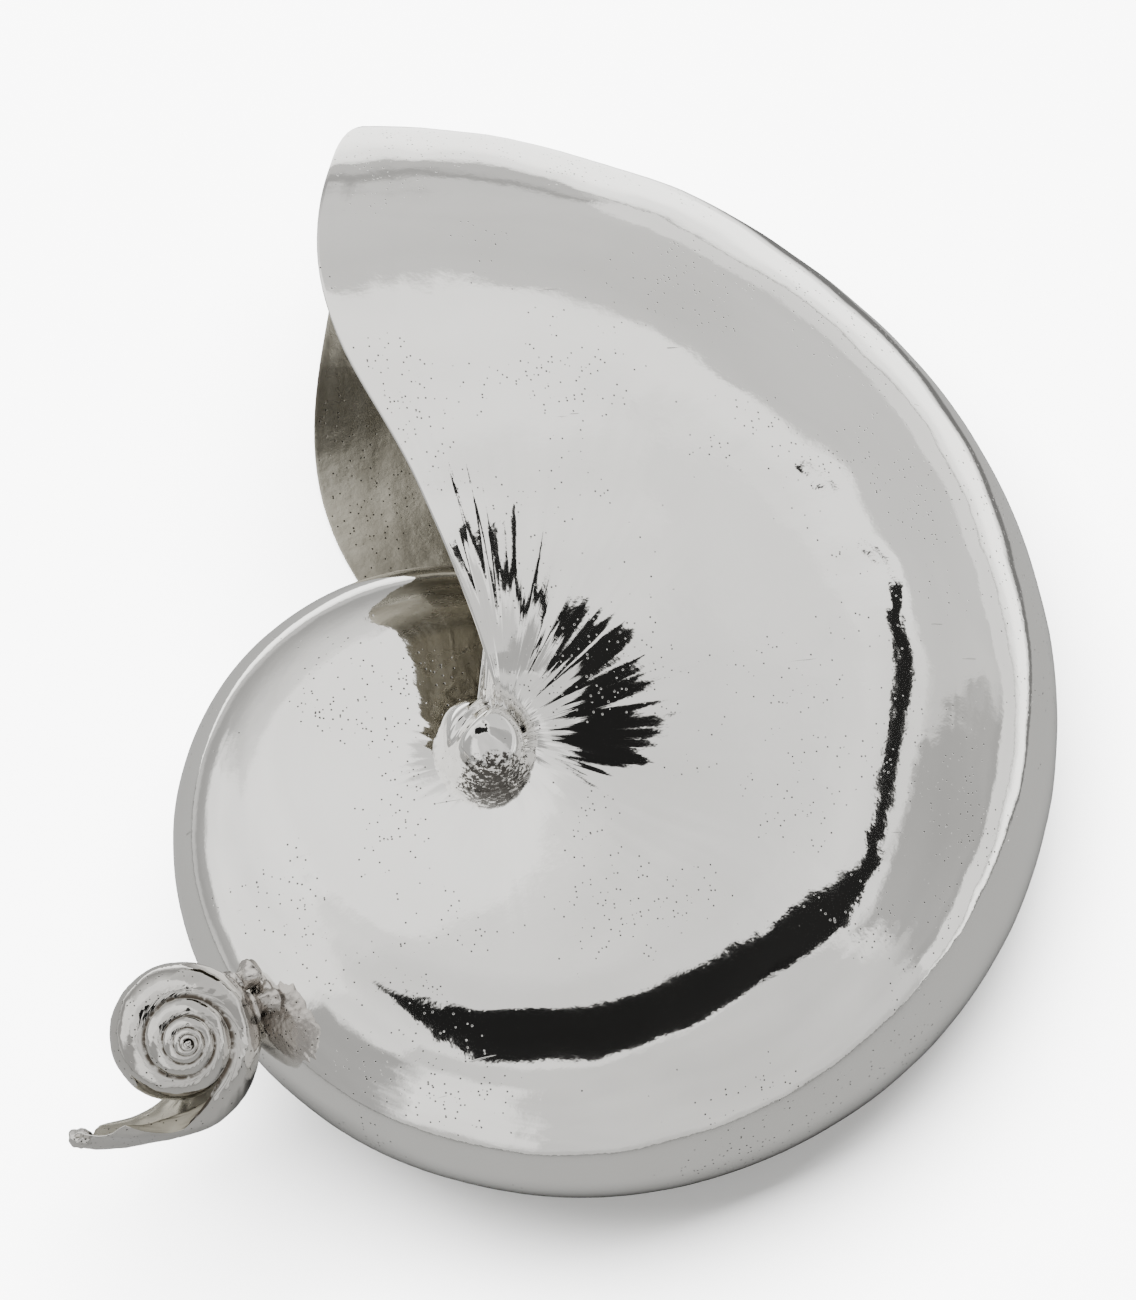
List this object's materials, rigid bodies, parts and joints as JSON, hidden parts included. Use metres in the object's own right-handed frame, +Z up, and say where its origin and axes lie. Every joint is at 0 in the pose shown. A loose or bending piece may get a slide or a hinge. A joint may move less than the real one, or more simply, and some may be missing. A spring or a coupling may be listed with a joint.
{
  "type": "nautilus shell ornament",
  "caption": "Mirror-bright silver-plated nautilus shell lying on its flank, its mouth open to one side, with a small plated snail shell soldered to its edge.",
  "frame": {"origin": "centre of the bounding box in plan, at the height of the table the shell lies on", "axes": "+Z up from the table, +Y from the small snail's side towards the wide open lip, +X towards the closed curve of the whorl's back"},
  "size_m": [0.1738, 0.2004, 0.0767],
  "materials": {
    "silver_plate": "polished silver plate over shell, with fine pits, scratches and dark tarnish in the hollows",
    "snail_silver": "polished silver plate, tarnished dark in the sutures, copper showing at the thin edge of the mouth",
    "inner_plate": "unpolished, tarnished plate on the chamber walls",
    "solder": "rough solder, pitted, with copper-red traces"
  },
  "bodies": {
    "root": {"shell_wall": "silver_plate", "septum_01": "inner_plate", "septum_02": "inner_plate", "septum_03": "inner_plate", "septum_04": "inner_plate", "septum_05": "inner_plate", "septum_06": "inner_plate", "septum_07": "inner_plate", "septum_08": "inner_plate", "septum_09": "inner_plate", "septum_10": "inner_plate", "septum_11": "inner_plate", "septum_12": "inner_plate", "septum_13": "inner_plate", "septum_14": "inner_plate", "septum_15": "inner_plate", "septum_16": "inner_plate", "septum_17": "inner_plate", "septum_18": "inner_plate", "septum_19": "inner_plate", "septum_20": "inner_plate", "siphuncle": "inner_plate", "embryonic_coil": "inner_plate", "snail_shell": "snail_silver", "solder_bead_upper": "solder", "solder_bead_lower": "solder"}
  },
  "joints": []
}
